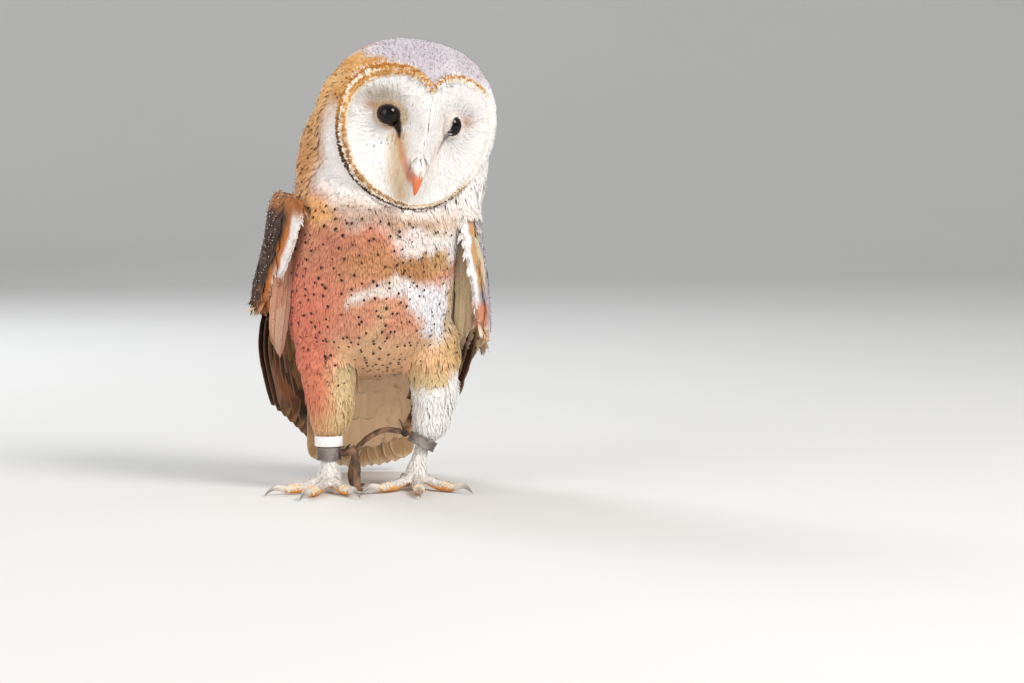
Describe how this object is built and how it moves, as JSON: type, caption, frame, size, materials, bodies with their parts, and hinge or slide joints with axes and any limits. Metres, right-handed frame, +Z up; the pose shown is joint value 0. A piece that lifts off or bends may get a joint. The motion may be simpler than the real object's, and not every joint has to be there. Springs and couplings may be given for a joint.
{
  "type": "barn owl model",
  "caption": "Life-size still model of a barn owl standing upright, with heart-shaped face, folded wings, long feathered legs, a leg ring, leather anklets and short straps.",
  "frame": {"origin": "middle of the owl's outline without its free straps, on the floor under its feet", "axes": "+Z up; the owl's breast faces -Y; its own left side is +X"},
  "size_m": [0.1564, 0.179, 0.2855],
  "materials": {
    "face_feathers": "soft white feathers, golden round the rim of the disc",
    "breast_feathers": "soft buff to rust feathers with small dark spots",
    "leg_feathers": "short soft buff and white feathers",
    "covert_feathers": "dark and gold feathers with fine pale specks",
    "flight_feathers": "firm barred flight feathers",
    "tail_feathers": "firm buff feathers with dark bars",
    "foot_skin": "scaly skin with pale bristles",
    "claw_horn": "smooth grey horn",
    "bill_horn": "smooth pinkish horn",
    "eye": "wet, near black",
    "ring_plastic": "plain white, no marks",
    "anklet_leather": "grey-brown leather",
    "strap_leather": "dark brown leather"
  },
  "bodies": {
    "root": {"head": "face_feathers", "neck": "breast_feathers", "trunk": "breast_feathers", "bill_upper": "bill_horn", "bill_lower": "bill_horn", "eye_right": "eye", "eye_left": "eye", "leg_ring": "ring_plastic", "anklet_right": "anklet_leather", "anklet_left": "anklet_leather", "thigh_right": "leg_feathers", "thigh_left": "leg_feathers", "tarsus_right": "foot_skin", "tarsus_left": "foot_skin", "toe_right_outer": "foot_skin", "toe_right_middle": "foot_skin", "toe_right_inner": "foot_skin", "toe_right_hind": "foot_skin", "toe_left_outer": "foot_skin", "toe_left_middle": "foot_skin", "toe_left_inner": "foot_skin", "toe_left_hind": "foot_skin", "claw_right_outer": "claw_horn", "claw_right_middle": "claw_horn", "claw_right_inner": "claw_horn", "claw_right_hind": "claw_horn", "claw_left_outer": "claw_horn", "claw_left_middle": "claw_horn", "claw_left_inner": "claw_horn", "claw_left_hind": "claw_horn", "wing_right_coverts": "covert_feathers", "wing_right_secondaries": "flight_feathers", "wing_right_primaries": "flight_feathers", "wing_left_coverts": "covert_feathers", "wing_left_secondaries": "flight_feathers", "wing_left_primaries": "flight_feathers", "tail": "tail_feathers", "knot_left": "strap_leather", "knot_right": "strap_leather", "jess_left": "strap_leather", "jess_right": "strap_leather"}
  },
  "joints": []
}
